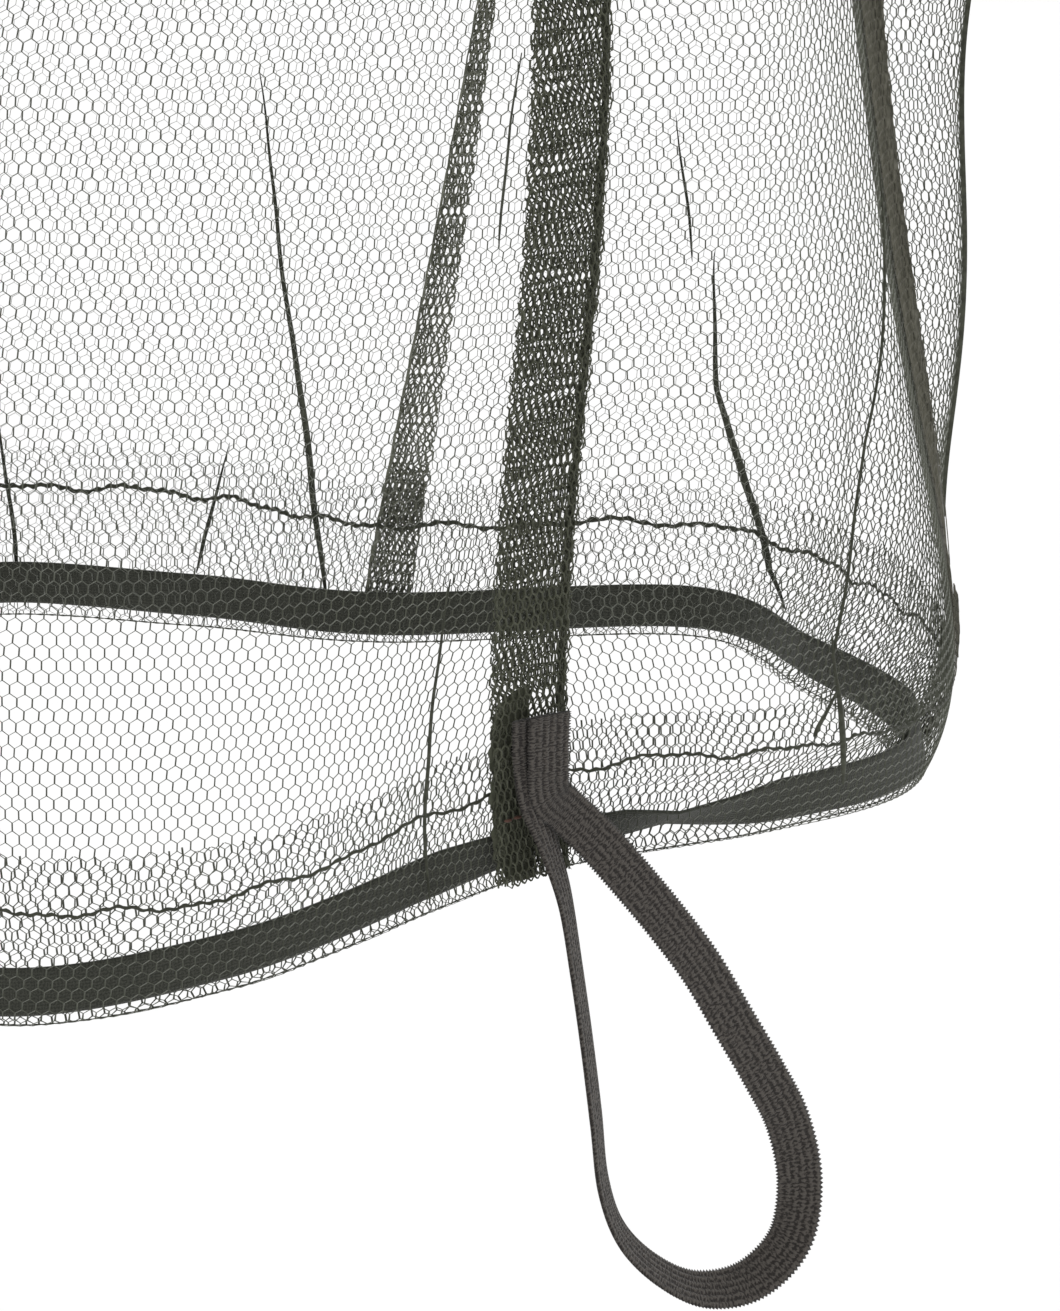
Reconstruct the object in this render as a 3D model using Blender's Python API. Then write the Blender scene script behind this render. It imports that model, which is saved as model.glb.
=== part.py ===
"""Small hanging mosquito net canopy.

Five net gores, each with its hem turned up inside as a casing, are joined under five bands of folded
net. A flat tape runs round in the casing, a webbing loop is stitched to the front band just above the
hem, and the gathered top is closed by a round binding. Everything hangs from the top.

Metres, +Z up. The origin is the middle of the binding's top face. -Y is the front, +X the right. Tables
are in millimetres, with x and y measured from the neck's axis and h measured up from the hem's level.
"""

import math

import bmesh
import bpy
import numpy as np
from mathutils import Vector

MM = 0.001

# Driving heights above the hem's level, and the neck's radius.
WAIST_H = 120.0
NECK_H = 302.0
TOP_EDGE_H = 316.0
NECK_R = 8.0

# Sheet thickness, the gap kept between neighbouring pieces, and the one under a band.
CLOTH = 1.0
GAP = 0.3
BAND_GAP = 0.8

# The hem's casing: how high its inner layer is stitched, and how far its fold hangs under the tape.
CASING_H = 18.0
FOLD_DROP = 1.6
POCKET_TOP = CLOTH + GAP

# The hem tape's width, and the height of its lower edge over the hem's fold.
TAPE_WIDTH = 7.2
TAPE = 0.8
TAPE_LIFT = 1.5

# The net swells out over the tape, most at this height.
SWELL_H = 24.0

# The width of net along the hem of one gore.
GORE_WIDTH = 112.0

# Fullness of the gores above the waist: one lobe between two bands, with soft flutes in it.
LOBE = 8.0
FLUTE = 3.4
FLUTES = 2.0

# The binding that closes the gathered top.
BINDING_H = 12.3
BINDING_R = NECK_R + CLOTH / 2 + BAND_GAP + CLOTH + GAP

# The webbing loop, and its two layers where they are stitched to the front band.
WEBBING_WIDTH = 6.8
WEBBING = 1.0
STITCH_H = 21.6

# How finely the cloth is divided, and a gore's heights from the casing's inner layer, round the fold
# under the tape, up the outer layer to the waist; the shoulder above is divided evenly.
GORE_COLUMNS = 12
BAND_COLUMNS = 4
LOOP_STEPS = 3
TAPE_ROWS = 2
INNER_HEIGHTS = (CASING_H, 15.0, 12.0, 8.5, 4.5, 1.6)
FOLD_ROWS = 4
OUTER_HEIGHTS = (2.2, 6.0, 11.0, 17.0, 24.0, 32.0, 43.0, 56.0, 71.0, 87.0, 104.0)
SHOULDER_ROWS = 15
SPIN_STEPS = 40

# The ring, counter-clockwise seen from above, three stations to a gore, the first of each at a band.
# hem_x, hem_y and waist_x, waist_y are its plan at the hem and at the waist; lift raises the hem,
# swell is the net's bulge just over the tape, belly its bulge between hem and waist, and pocket is
# the distance between the casing's two layers.
STATION_FIELDS = ("hem_x", "hem_y", "lift", "waist_x", "waist_y", "swell", "belly", "pocket")
STATIONS = (
    (-90, -56, 0.0, -88, -54, 2.0, 0.0, 3.2),
    (-66, -83, -3.0, -70, -84, 2.0, 1.0, 3.2),
    (-30, -76, -0.6, -28, -79, 2.5, 0.0, 3.2),
    (12.3, -50, 6.0, 17.3, -53, -1.5, 0.0, 3.4),
    (47, -33, 6.4, 45, -41, 3.5, 0.0, 5.0),
    (69, -6, 2.2, 59, -13, 5.0, 0.0, 5.0),
    (70.5, 21, 0.0, 61.3, 22, 7.5, 0.0, 5.5),
    (57, 49, -0.5, 79, 46, 7.0, 7.5, 5.5),
    (39, 77, -1.5, 48, 80, 4.0, 1.0, 4.2),
    (-12.3, 74, -1.5, 7, 75, 1.5, 0.0, 3.2),
    (-44, 82, -1.5, -34, 88, 2.0, 0.0, 3.2),
    (-80, 85, -1.0, -74, 87, 2.0, 0.0, 3.2),
    (-104, 56, 0.0, -98, 52, 2.0, 0.0, 3.2),
    (-118, 16, -1.0, -122, 20, 2.5, 1.0, 3.2),
    (-115, -24, -1.5, -119, -24, 2.5, 0.0, 3.2),
)
PER_GORE = 3

# Each band follows the join at the start of its gore. Widths are at the hem, the waist and the neck.
GORE_FIELDS = ("band", "gore", "hem_width", "waist_width", "neck_width")
GORES = (
    ("front_left", "front", 9.0, 9.0, 4.6),
    ("front", "front_right", 11.0, 11.4, 4.6),
    ("right", "back_right", 9.0, 9.6, 4.6),
    ("back", "back", 8.0, 5.6, 4.6),
    ("back_left", "left", 9.0, 9.0, 4.6),
)

GORE_NAMES = [row[1] for row in GORES]

# Long soft creases in the gores: ring places (in gores) and heights of both ends, then depth and breadth.
CREASE_FIELDS = ("low_at", "low_h", "high_at", "high_h", "depth", "breadth")
CREASES = (
    (0.28, 8.0, 0.22, 96.0, 1.4, 6.0),
    (0.88, 3.0, 0.895, 52.0, 1.2, 4.0),
    (1.395, 10.0, 1.60, 88.0, 1.6, 5.0),
    (2.55, 4.0, 2.75, 90.0, 1.8, 5.0),
    (3.085, 5.0, 3.285, 92.0, 1.8, 5.0),
    (3.74, 14.0, 3.66, 120.0, 1.8, 6.0),
    (4.30, 10.0, 4.44, 110.0, 1.8, 6.0),
    (4.70, 4.0, 4.58, 80.0, 1.6, 6.0),
)

# The loop's route from the front layer's top, down, round and back up to the back layer's top. side is
# measured along the front band's face from its middle, h above the hem's level, out is how far it
# stands in front of that face, and turn is how far its width has turned from flat on the face to
# edge-on, outer edge forward.
LOOP_FIELDS = ("side", "h", "out", "turn")
LOOP = (
    (0.0, 33.2, 2.7, 0),
    (0.0, 26.6, 2.7, 0),
    (0.4, 20.6, 2.75, 0),
    (3.0, 17.6, 3.2, 0),
    (7.6, 12.4, 4.2, 0),
    (12.7, 5.8, 5.2, 0),
    (18.2, -1.6, 5.8, 0),
    (24.0, -10.0, 6.0, 2),
    (29.6, -19.8, 6.0, 5),
    (35.0, -29.4, 6.1, 9),
    (39.2, -38.0, 6.2, 14),
    (41.2, -48.0, 6.5, 24),
    (39.4, -57.6, 6.8, 38),
    (32.6, -62.8, 7.0, 50),
    (24.0, -62.4, 7.0, 56),
    (16.4, -57.4, 7.0, 58),
    (10.2, -49.8, 7.0, 56),
    (7.0, -41.0, 7.0, 52),
    (5.8, -30.0, 6.8, 50),
    (4.6, -18.0, 6.1, 50),
    (3.2, -6.6, 5.5, 50),
    (1.8, 4.8, 4.4, 48),
    (-0.2, 13.6, 2.9, 40),
    (-1.4, 20.0, 1.8, 14),
    (-1.9, 26.6, 1.35, 3),
    (-2.0, 32.6, 1.35, 0),
)

OLIVE_NET = (0.072, 0.077, 0.055, 1.0)
OLIVE_BAND = (0.060, 0.063, 0.042, 1.0)
DARK_TAPE = (0.042, 0.045, 0.030, 1.0)
CHARCOAL_WEBBING = (0.056, 0.049, 0.043, 1.0)


def clear_scene():
    for thing in list(bpy.data.objects):
        bpy.data.objects.remove(thing, do_unlink=True)


def cloth_material(name, colour, roughness):
    material = bpy.data.materials.new(name)
    material.use_nodes = True
    shader = material.node_tree.nodes["Principled BSDF"]
    shader.inputs["Base Color"].default_value = colour
    shader.inputs["Roughness"].default_value = roughness
    shader.inputs["Metallic"].default_value = 0.0
    return material


def smooth_step(value):
    value = min(max(value, 0.0), 1.0)
    return value * value * (3.0 - 2.0 * value)


def catmull_rom(before, start, end, after, share):
    """The smooth curve between start and end, a share of the way along."""
    return 0.5 * (
        2.0 * start
        + (end - before) * share
        + (2.0 * before - 5.0 * start + 4.0 * end - after) * share**2
        + (3.0 * start - before - 3.0 * end + after) * share**3
    )


STATION_ROWS = np.array(STATIONS, dtype=float)


def station(at):
    """The ring's values at a place counted in gores, as a dict by column name."""
    place = (at * PER_GORE) % len(STATIONS)
    first = int(math.floor(place))
    rows = [STATION_ROWS[(first + step) % len(STATIONS)] for step in (-1, 0, 1, 2)]
    return dict(zip(STATION_FIELDS, catmull_rom(*rows, place - first)))


def crease_depth(at, h):
    """How far the long creases push the net in at this place."""
    total = 0.0
    for row in CREASES:
        crease = dict(zip(CREASE_FIELDS, row))
        rise = (h - crease["low_h"]) / (crease["high_h"] - crease["low_h"])
        if not 0.0 < rise < 1.0:
            continue
        middle = crease["low_at"] + (crease["high_at"] - crease["low_at"]) * rise
        off = (at - middle) * GORE_WIDTH / crease["breadth"]
        total += crease["depth"] * math.exp(-off * off) * math.sin(math.pi * rise) ** 0.7
    return total


def ring_point(at, h):
    """The hung net before its flutes: a point at this place on the ring and this height, in mm."""
    row = station(at)
    hem = np.array((row["hem_x"], row["hem_y"]))
    waist = np.array((row["waist_x"], row["waist_y"]))
    lift = row["lift"] * max(0.0, 1.0 - max(h, 0.0) / WAIST_H) ** 1.5
    neck = waist / np.linalg.norm(waist) * NECK_R
    if h <= WAIST_H:
        share = (max(h, 0.0) / WAIST_H) ** 1.2
        plan = hem + (waist - hem) * share
    else:
        rise = min((h - WAIST_H) / (NECK_H - WAIST_H), 1.0)
        lean = (waist - hem) * 1.2 / WAIST_H * (h - WAIST_H) * (1.0 - rise) ** 2
        reach = (1.0 - rise**1.7) ** 1.3
        plan = neck + (waist + lean - neck) * reach
    return np.array((plan[0], plan[1], h + lift)), row


def sideways(at, h):
    """The level direction that points out of the net here."""
    step = 0.01
    ahead, _ = ring_point(at + step, h)
    behind, _ = ring_point(at - step, h)
    along = ahead - behind
    out = np.array((along[1], -along[0], 0.0))
    return out / np.linalg.norm(out)


def fullness(at, h, row):
    """How far the net stands out from the bare ring: swell, belly, lobe and flutes, less the creases."""
    part = at % 1.0
    grow = max(h, 0.0) / SWELL_H
    total = row["swell"] * grow * math.exp(1.0 - grow) - crease_depth(at % len(GORES), h)
    if 0.0 < h < WAIST_H:
        total += row["belly"] * math.sin(math.pi * h / WAIST_H) ** 2
    if WAIST_H < h < NECK_H:
        rise = (h - WAIST_H) / (NECK_H - WAIST_H)
        slack = math.sin(math.pi * part) ** 2 * math.sin(math.pi * rise) ** 1.5 * (1.1 - rise)
        total += slack * (LOBE - FLUTE * math.cos(2.0 * math.pi * FLUTES * part))
    return total


def hung(at, h):
    """A point of the hung net's middle surface, in mm."""
    point, row = ring_point(at, h)
    return point + sideways(at, h) * fullness(at, h, row)


def outward(at, h):
    """The net's own normal there, pointing out."""
    along = hung(at + 0.008, h) - hung(at - 0.008, h)
    up = hung(at, h + 0.8) - hung(at, h - 0.8)
    normal = np.cross(along, up)
    return normal / np.linalg.norm(normal)


def placed(point):
    """A point of the tables' frame in metres from the top."""
    return Vector((point[0] * MM, point[1] * MM, (point[2] - TOP_EDGE_H - CLOTH - GAP) * MM))


def hung_sheet(name, columns, rows, shape, thickness, material, closed=False):
    """A flat grid of cloth, hung by moving each corner to shape(column, row), then given its thickness."""
    mesh = bpy.data.meshes.new(name)
    cloth = bmesh.new()
    bmesh.ops.create_grid(cloth, x_segments=columns, y_segments=rows, size=1.0)
    for corner in cloth.verts:
        column = round((corner.co.x + 1.0) / 2.0 * columns)
        row = round((corner.co.y + 1.0) / 2.0 * rows)
        corner.co = placed(shape(column, row))
    if closed:
        bmesh.ops.remove_doubles(cloth, verts=cloth.verts, dist=0.01 * MM)
    bmesh.ops.recalc_face_normals(cloth, faces=cloth.faces)
    cloth.to_mesh(mesh)
    cloth.free()
    mesh.materials.append(material)
    mesh.shade_smooth()
    sheet = bpy.data.objects.new(name, mesh)
    bpy.context.collection.objects.link(sheet)
    wall = sheet.modifiers.new("thickness", "SOLIDIFY")
    wall.thickness = thickness * MM
    wall.offset = 0.0
    wall.use_even_offset = True
    return sheet


def gore_profile():
    """A gore's rows from its inner edge to the top: which part of it each lies in, and its height."""
    rows = [("inner", h) for h in INNER_HEIGHTS]
    rows += [("fold", step / FOLD_ROWS) for step in range(1, FOLD_ROWS)]
    rows += [("outer", h) for h in OUTER_HEIGHTS]
    rise = (NECK_H - WAIST_H) / SHOULDER_ROWS
    rows += [("outer", WAIST_H + rise * step) for step in range(SHOULDER_ROWS + 1)]
    rows += [("outer", (NECK_H + TOP_EDGE_H) / 2.0), ("outer", TOP_EDGE_H)]
    return rows


def pocket_width(at, h):
    """The distance from the outer layer to the inner one, which closes in above the tape."""
    wide = station(at)["pocket"]
    return wide + (POCKET_TOP - wide) * smooth_step((h - 8.5) / 6.5)


def gore_point(at, kind, value):
    if kind == "outer":
        return hung(at, value)
    if kind == "inner":
        return hung(at, value) - sideways(at, value) * pocket_width(at, value)
    # The fold is half an ellipse under the casing's two layers.
    angle = math.pi * value
    wide = pocket_width(at, 1.6)
    inward = wide * (0.5 + 0.5 * math.cos(angle))
    return hung(at, 1.6) - sideways(at, 1.6) * inward - np.array((0.0, 0.0, FOLD_DROP * math.sin(angle)))


def make_gore(number, material):
    """One gore between two bands, its edges half a gap short of each join."""
    profile = gore_profile()
    row_gap = []
    for kind, value in profile:
        h = 1.6 if kind == "fold" else value
        width = np.linalg.norm(hung(number + 0.99, h) - hung(number + 1.01, h)) / 0.02
        row_gap.append(1.2 * GAP / width)

    def shape(column, row):
        kind, value = profile[row]
        margin = row_gap[row]
        at = number + margin + (1.0 - 2.0 * margin) * column / GORE_COLUMNS
        return gore_point(at, kind, value)

    name = "gore_" + dict(zip(GORE_FIELDS, GORES[number]))["gore"]
    return hung_sheet(name, GORE_COLUMNS, len(profile) - 1, shape, CLOTH, material)


def band_width(row, h):
    if h <= WAIST_H:
        return row["hem_width"] + (row["waist_width"] - row["hem_width"]) * max(h, 0.0) / WAIST_H
    rise = smooth_step((h - WAIST_H) / (NECK_H - WAIST_H) * 1.1)
    return row["waist_width"] + (row["neck_width"] - row["waist_width"]) * rise


def make_band(number, material):
    """A strip of folded net laid over the join at the start of a gore, from the hem to the neck."""
    row_values = dict(zip(GORE_FIELDS, GORES[number]))
    heights = [value for kind, value in gore_profile() if kind == "outer"]
    stand = CLOTH / 2.0 + BAND_GAP + CLOTH / 2.0

    def shape(column, row):
        h = heights[row]
        gore_width = np.linalg.norm(hung(number + 0.02, h) - hung(number - 0.02, h)) / 0.04
        across = (column / BAND_COLUMNS - 0.5) * band_width(row_values, h)
        at = number + across / gore_width
        return hung(at, h) + outward(at, h) * stand

    name = "band_" + row_values["band"]
    return hung_sheet(name, BAND_COLUMNS, len(heights) - 1, shape, CLOTH, material)


def make_hem_tape(material):
    """The flat tape that stands on edge in the casing, all the way round."""
    columns = GORE_COLUMNS * len(GORES)

    def shape(column, row):
        at = column / columns * len(GORES)
        h = TAPE_LIFT + row * TAPE_WIDTH / TAPE_ROWS
        middle = pocket_width(at, 0.0) / 2.0
        return hung(at, h) - sideways(at, h) * middle

    return hung_sheet("hem_tape", columns, TAPE_ROWS, shape, TAPE, material, closed=True)


def make_loop(material):
    """Flat webbing: two stacked layers at the stitched tab, and the open loop below it."""
    rows = np.array(LOOP, dtype=float)
    last = len(LOOP) - 1
    front = GORE_NAMES.index("front_right")
    face_out = sideways(front, STITCH_H)
    face_side = np.array((-face_out[1], face_out[0], 0.0))
    face_middle = hung(front, STITCH_H)

    def middle(place):
        """The route's point at a place counted in rows, and how far the width is turned there."""
        place = min(max(place, 0.0), float(last))
        first = min(int(math.floor(place)), last - 1)
        around = [rows[min(max(first + step, 0), last)] for step in (-1, 0, 1, 2)]
        values = dict(zip(LOOP_FIELDS, catmull_rom(*around, place - first)))
        level = max(values["h"], STITCH_H)
        face = hung(front, level) + outward(front, level) * (CLOTH * 1.5 + BAND_GAP)
        reach = (face - face_middle) @ face_out + values["out"]
        point = face_middle + face_side * values["side"] + face_out * reach
        point[2] = values["h"]
        return point, math.radians(values["turn"])

    def shape(column, row):
        place = column / LOOP_STEPS
        centre, turn = middle(place)
        along = middle(place + 0.05)[0] - middle(place - 0.05)[0]
        along /= np.linalg.norm(along)
        outer = np.cross(face_out, along)
        outer /= np.linalg.norm(outer)
        forward = np.cross(along, outer)
        across = outer * math.cos(turn) + forward * math.sin(turn)
        return centre + across * (row / TAPE_ROWS - 0.5) * WEBBING_WIDTH

    return hung_sheet("loop", last * LOOP_STEPS, TAPE_ROWS, shape, WEBBING, material)


def make_top_binding(material):
    """A shallow round cap of tape over the gathered top, turned from its profile."""
    mesh = bpy.data.meshes.new("top_binding")
    cap = bmesh.new()
    outer = BINDING_R + CLOTH
    profile = (
        (0.0, -CLOTH),
        (BINDING_R, -CLOTH),
        (BINDING_R, -BINDING_H),
        (outer, -BINDING_H),
        (outer, -0.5),
        (outer - 0.5, 0.0),
        (0.0, 0.0),
    )
    line = [cap.verts.new((radius * MM, 0.0, height * MM)) for radius, height in profile]
    edges = [cap.edges.new(pair) for pair in zip(line, line[1:])]
    bmesh.ops.spin(
        cap,
        geom=line + edges,
        cent=(0.0, 0.0, 0.0),
        axis=(0.0, 0.0, 1.0),
        angle=2.0 * math.pi,
        steps=SPIN_STEPS,
        use_merge=True,
    )
    bmesh.ops.remove_doubles(cap, verts=cap.verts, dist=0.001 * MM)
    bmesh.ops.recalc_face_normals(cap, faces=cap.faces)
    cap.to_mesh(mesh)
    cap.free()
    mesh.materials.append(material)
    binding = bpy.data.objects.new("top_binding", mesh)
    bpy.context.collection.objects.link(binding)
    return binding


clear_scene()
net = cloth_material("olive_net", OLIVE_NET, 0.85)
folded_net = cloth_material("olive_band", OLIVE_BAND, 0.85)
tape = cloth_material("dark_tape", DARK_TAPE, 0.8)
webbing = cloth_material("charcoal_webbing", CHARCOAL_WEBBING, 0.75)
for gore_number in range(len(GORES)):
    make_gore(gore_number, net)
    make_band(gore_number, folded_net)
make_hem_tape(tape)
make_loop(webbing)
make_top_binding(tape)
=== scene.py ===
"""The looks of a small hanging mosquito net canopy, over its solids.

Tables and lengths are in millimetres, with x and y measured from the neck's axis and h measured up from
the hem's level; meshes are in metres, with the origin in the middle of the top binding's upper face.
"""

import math

import bmesh
import bpy
import numpy as np
from mathutils import Matrix, Vector


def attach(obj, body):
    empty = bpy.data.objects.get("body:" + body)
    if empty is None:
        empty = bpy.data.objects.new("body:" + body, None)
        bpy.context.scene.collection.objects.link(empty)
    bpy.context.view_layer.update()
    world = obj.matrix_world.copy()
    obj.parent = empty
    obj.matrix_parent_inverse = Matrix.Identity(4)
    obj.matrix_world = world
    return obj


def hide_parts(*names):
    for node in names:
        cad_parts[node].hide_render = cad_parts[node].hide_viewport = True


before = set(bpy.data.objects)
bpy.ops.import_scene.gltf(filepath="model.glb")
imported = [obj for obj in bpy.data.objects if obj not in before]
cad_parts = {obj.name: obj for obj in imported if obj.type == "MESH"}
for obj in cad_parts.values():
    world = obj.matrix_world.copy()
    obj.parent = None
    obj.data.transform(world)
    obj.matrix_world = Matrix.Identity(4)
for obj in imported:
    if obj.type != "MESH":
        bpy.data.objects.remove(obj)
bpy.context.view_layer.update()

# ----------------------------------------------------------------------------------------------------
# The five gores: each is one piece of hexagonal polyester net, cut tapering towards the neck and hung
# in soft folds. Its hem is turned up inside as a casing over the tape and sewn down, and its two sides
# are sewn together with its neighbours' under the bands.

MM = 0.001
WAIST_H = 120.0
NECK_H = 302.0
TOP_EDGE_H = 316.0
HUNG_FROM_H = 317.3
NECK_R = 8.0
SWELL_H = 24.0
GORE_WIDTH = 112.0
LOBE = 8.0
FLUTE = 3.4
FLUTES = 2.0

# The powers of its curves up to the waist, from there to the neck, and of the hem's dying lift, and how
# the slack between the bands swells under the neck.
WAIST_CURVE = 1.2
NECK_CURVE = 1.7
NECK_ROUNDING = 1.3
LIFT_FADE = 1.5
SLACK_CURVE = 1.5
SLACK_END = 1.1

# Steps along the ring, in gores, and in height, over which the net's directions are taken.
LEVEL_STEP = 0.01
NORMAL_STEP = 0.008
NORMAL_STEP_H = 0.8

# The casing: the height at which its inner layer is sewn down and how far it reaches above that, then
# where its fold starts and how far that hangs.
CASING_TOP = ((0.0, 20.0), (0.3, 20.0), (0.65, 16.5), (1.0, 17.0), (1.15, 18.0), (1.5, 15.6), (2.0, 16.0),
              (2.5, 17.0), (3.0, 19.5), (3.4, 22.0), (4.0, 20.0), (4.5, 19.0))
ALLOWANCE = 6.8
FOLD_H = 1.6
FOLD_DROP = 1.6
FOLD_LENGTH = 5.5
POCKET_TOP = 1.3
POCKET_CLOSES_H = 8.5
POCKET_CLOSING = 6.5

# The net's threads: wales run upright and are thicker than the legs that join them slantwise.
WALE_PITCH = 2.0
COURSE_PITCH = 1.85
WALE_THREAD = 0.21
LEG_THREAD = 0.03
LEG_SKEW = 0.022
# How much paler each kind of leg is painted, as painted light shining through it.
RIGHT_LEG_BACKLIGHT = 0.05
LEFT_LEG_BACKLIGHT = 0.25
LEG_SLOPE = 0.3
THREAD_RISE = 0.16
BOLT_WIDTH = 190.0
BOLT_LENGTH = 420.0
CUT_START = 45.0
TOP_TRIM = 2.0

# The ring, three stations to a gore, counter-clockwise from above, the first of each gore at a band.
RING_FIELDS = ("hem_x", "hem_y", "lift", "waist_x", "waist_y", "swell", "belly", "pocket")
RING = np.array(
    (
        (-90, -56, 0.0, -88, -54, 2.0, 0.0, 3.2),
        (-66, -83, -3.0, -70, -84, 2.0, 1.0, 3.2),
        (-30, -76, -0.6, -28, -79, 2.5, 0.0, 3.2),
        (12.3, -50, 6.0, 17.3, -53, -1.5, 0.0, 3.4),
        (47, -33, 6.4, 45, -41, 3.5, 0.0, 5.0),
        (69, -6, 2.2, 59, -13, 5.0, 0.0, 5.0),
        (70.5, 21, 0.0, 61.3, 22, 7.5, 0.0, 5.5),
        (57, 49, -0.5, 79, 46, 7.0, 7.5, 5.5),
        (39, 77, -1.5, 48, 80, 4.0, 1.0, 4.2),
        (-12.3, 74, -1.5, 7, 75, 1.5, 0.0, 3.2),
        (-44, 82, -1.5, -34, 88, 2.0, 0.0, 3.2),
        (-80, 85, -1.0, -74, 87, 2.0, 0.0, 3.2),
        (-104, 56, 0.0, -98, 52, 2.0, 0.0, 3.2),
        (-118, 16, -1.0, -122, 20, 2.5, 1.0, 3.2),
        (-115, -24, -1.5, -119, -24, 2.5, 0.0, 3.2),
    )
)
PER_GORE = 3

# Creases: ring places (in gores) and heights of both ends, then depth and breadth.
CREASE_FIELDS = ("low_at", "low_h", "high_at", "high_h", "depth", "breadth")
CREASES = (
    (0.28, 8.0, 0.22, 96.0, 1.4, 6.0),
    (0.88, 3.0, 0.895, 52.0, 1.2, 4.0),
    (1.395, 10.0, 1.60, 88.0, 1.6, 5.0),
    (2.55, 4.0, 2.75, 90.0, 1.8, 5.0),
    (3.085, 5.0, 3.285, 92.0, 1.8, 5.0),
    (3.74, 14.0, 3.66, 120.0, 1.8, 6.0),
    (4.30, 10.0, 4.44, 110.0, 1.8, 6.0),
    (4.70, 4.0, 4.58, 80.0, 1.6, 6.0),
)
CREASE_FADE = 0.7

# Each gore's net was cut with its wales a little off the gore's middle line, in degrees.
GORE_FIELDS = ("node", "lean")
GORES = (
    ("gore_front", 5.0),
    ("gore_front_right", -3.0),
    ("gore_back_right", 4.0),
    ("gore_back", -5.0),
    ("gore_left", 3.0),
)

# Round the far side the net is worn finer, and painted paler as painted light on the net seen from inside,
# up to all of it between the middle places.
WEAR_AND_LIGHT_PLACES = (0.0, 2.36, 2.56, 4.3, 4.8, 5.0)
WEAR_AND_LIGHT = (0.0, 0.0, 1.0, 1.0, 0.0, 0.0)
WORN_WALE_THREAD = 0.07
WORN_LEG_THREAD = 0.012
PAINTED_LIGHT_DYE = (0.46, 0.47, 0.43)

# Low down there is more cloth than the form needs: it gathers beside the bands, where the threads lie
# close and look thicker, as they do in the casing's inner layer.
GATHER = 0.26
GATHER_H = 34.0
GATHER_THREAD = 1.6
CASING_THREAD = 0.6

# The threads wander to the side in two waves, each with its paces up the cloth and across it.
WANDER = 0.16
FINE_WANDER_PACE = 0.31
FINE_WANDER_BEND = 1.3
FINE_WANDER_BEND_PACE = 0.17
BROAD_WANDER_PACE = 0.13
BROAD_WANDER_PACE_ACROSS = 0.4


def named_rows(fields, table):
    """A table's rows, with their values by name."""
    return [dict(zip(fields, row)) for row in table]


def smooth_between(before, start, end, after, share):
    """A smooth curve through four rows, read between the middle two."""
    return 0.5 * (
        2.0 * start
        + (end - before) * share
        + (2.0 * before - 5.0 * start + 4.0 * end - after) * share**2
        + (3.0 * start - before - 3.0 * end + after) * share**3
    )


def ring_values(at):
    """The ring's values at places counted in gores, by column name."""
    place = at * PER_GORE % len(RING)
    first = np.floor(place).astype(int)
    share = (place - first)[:, None]
    stations = (RING[(first + step) % len(RING)] for step in (-1, 0, 1, 2))
    return dict(zip(RING_FIELDS, smooth_between(*stations, share).T))


def crease_depth(at, h):
    """How far the creases push the net in, each a soft trough."""
    total = np.zeros_like(h)
    for crease in named_rows(CREASE_FIELDS, CREASES):
        rise = (h - crease["low_h"]) / (crease["high_h"] - crease["low_h"])
        middle = crease["low_at"] + (crease["high_at"] - crease["low_at"]) * rise
        off = (at - middle) * GORE_WIDTH / crease["breadth"]
        fade = np.sin(math.pi * np.clip(rise, 0.0, 1.0)) ** CREASE_FADE
        total += crease["depth"] * np.exp(-(off**2)) * fade
    return total


def ring_points(at, h):
    """The hung net before its fullness: points at these places and heights."""
    values = ring_values(at)
    hem = np.stack((values["hem_x"], values["hem_y"]), axis=1)
    waist = np.stack((values["waist_x"], values["waist_y"]), axis=1)
    neck = waist / np.linalg.norm(waist, axis=1)[:, None] * NECK_R
    low = np.clip(h / WAIST_H, 0.0, 1.0)[:, None]
    rise = np.clip((h - WAIST_H) / (NECK_H - WAIST_H), 0.0, 1.0)[:, None]
    # Past the waist the net runs on for a while the way it came.
    lean = (waist - hem) * WAIST_CURVE * (NECK_H - WAIST_H) / WAIST_H * rise * (1.0 - rise) ** 2
    below = hem + (waist - hem) * low**WAIST_CURVE
    above = neck + (waist + lean - neck) * (1.0 - rise**NECK_CURVE) ** NECK_ROUNDING
    plan = np.where(h[:, None] <= WAIST_H, below, above)
    lift = values["lift"] * (1.0 - low[:, 0]) ** LIFT_FADE
    return np.column_stack((plan, h + lift)), values


def level_out(at, h):
    """The level directions that point out of the net."""
    along = ring_points(at + LEVEL_STEP, h)[0] - ring_points(at - LEVEL_STEP, h)[0]
    out = np.column_stack((along[:, 1], -along[:, 0], np.zeros(len(h))))
    return out / np.linalg.norm(out, axis=1)[:, None]


def fullness(at, h, values):
    """How far the net stands out from the ring: swell, belly, lobes and flutes, less the creases."""
    part = at % 1.0
    grow = np.maximum(h, 0.0) / SWELL_H
    total = values["swell"] * grow * np.exp(1.0 - grow) - crease_depth(at % len(GORES), h)
    total += values["belly"] * np.sin(math.pi * np.clip(h / WAIST_H, 0.0, 1.0)) ** 2
    rise = np.clip((h - WAIST_H) / (NECK_H - WAIST_H), 0.0, 1.0)
    slack = np.sin(math.pi * part) ** 2 * np.sin(math.pi * rise) ** SLACK_CURVE * (SLACK_END - rise)
    return total + slack * (LOBE - FLUTE * np.cos(2.0 * math.pi * FLUTES * part))


def hung(at, h):
    """Points of the hung net."""
    points, values = ring_points(at, h)
    return points + level_out(at, h) * fullness(at, h, values)[:, None]


def outward(at, h):
    """The net's own normals, pointing out."""
    along = hung(at + NORMAL_STEP, h) - hung(at - NORMAL_STEP, h)
    up = hung(at, h + NORMAL_STEP_H) - hung(at, h - NORMAL_STEP_H)
    normal = np.cross(along, up)
    return normal / np.linalg.norm(normal, axis=1)[:, None]


def placed(points):
    """Points of the tables' frame in metres, hung from the binding's upper face."""
    return (points - (0.0, 0.0, HUNG_FROM_H)) * MM


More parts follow.
